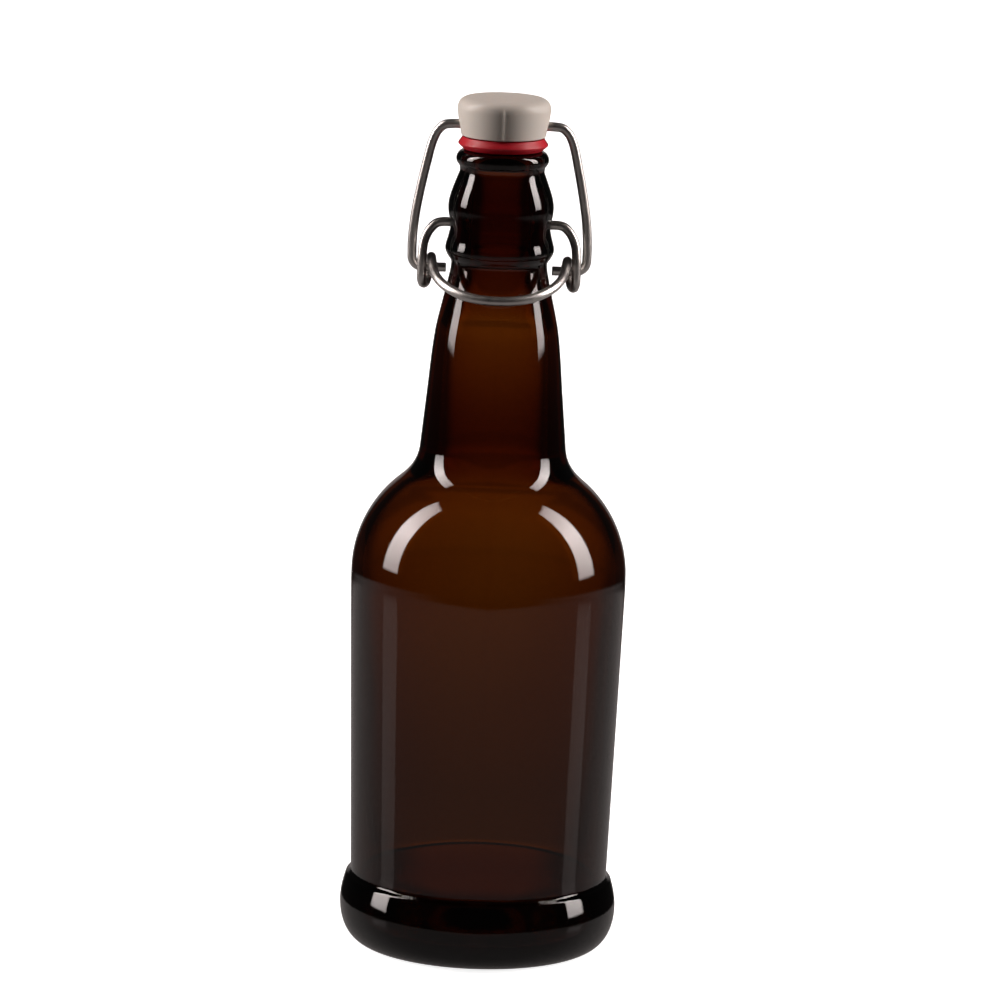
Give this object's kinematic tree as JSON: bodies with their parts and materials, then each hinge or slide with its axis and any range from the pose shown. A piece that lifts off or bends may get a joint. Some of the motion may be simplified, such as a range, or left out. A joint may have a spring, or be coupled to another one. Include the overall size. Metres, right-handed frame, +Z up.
{
  "type": "swing-top bottle",
  "caption": "Swing-top glass bottle: heel bead, label panel, domed shoulder and collared neck, closed by a lever wire, bail wire and a plastic stopper with a rubber gasket.",
  "frame": {"origin": "centre of the base, on the surface the bottle stands on", "axes": "+Z up along the bottle, -Y the side the thumb loop is on when the bottle is closed, X along the closure's pivots"},
  "size_m": [0.0802, 0.0802, 0.249],
  "materials": {
    "amber_glass": "glossy fire-polished amber glass, translucent, 3 mm wall",
    "steel_wire": "drawn stainless steel wire, satin with fine draw lines",
    "stopper_plastic": "satin moulded warm grey plastic with a parting line",
    "red_rubber": "smooth soft red rubber"
  },
  "bodies": {
    "bottle": {"bottle": "amber_glass"},
    "lever": {"lever_wire": "steel_wire"},
    "bail": {"bail_wire": "steel_wire"},
    "stopper": {"stopper_head": "stopper_plastic", "gasket": "red_rubber"}
  },
  "joints": [
    {"name": "lever_pivot", "type": "hinge", "parent": "bottle", "child": "lever", "pos_m": [0, 0, 0.212], "axis": [-1, 0, 0], "range_deg": [0, 230]},
    {"name": "bail_pivot", "type": "hinge", "parent": "lever", "child": "bail", "pos_m": [0, 0.0006, 0.1987], "axis": [-1, 0, 0], "range_deg": [-154.1, 0]},
    {"name": "stopper_pivot", "type": "hinge", "parent": "bail", "child": "stopper", "pos_m": [0, 0, 0.2404], "axis": [-1, 0, 0], "range_deg": [-52.9, 0]}
  ],
  "couplings": [
    {"joint": "bail_pivot", "follows": "lever_pivot", "ratio": -0.67},
    {"joint": "stopper_pivot", "follows": "lever_pivot", "ratio": -0.23}
  ]
}
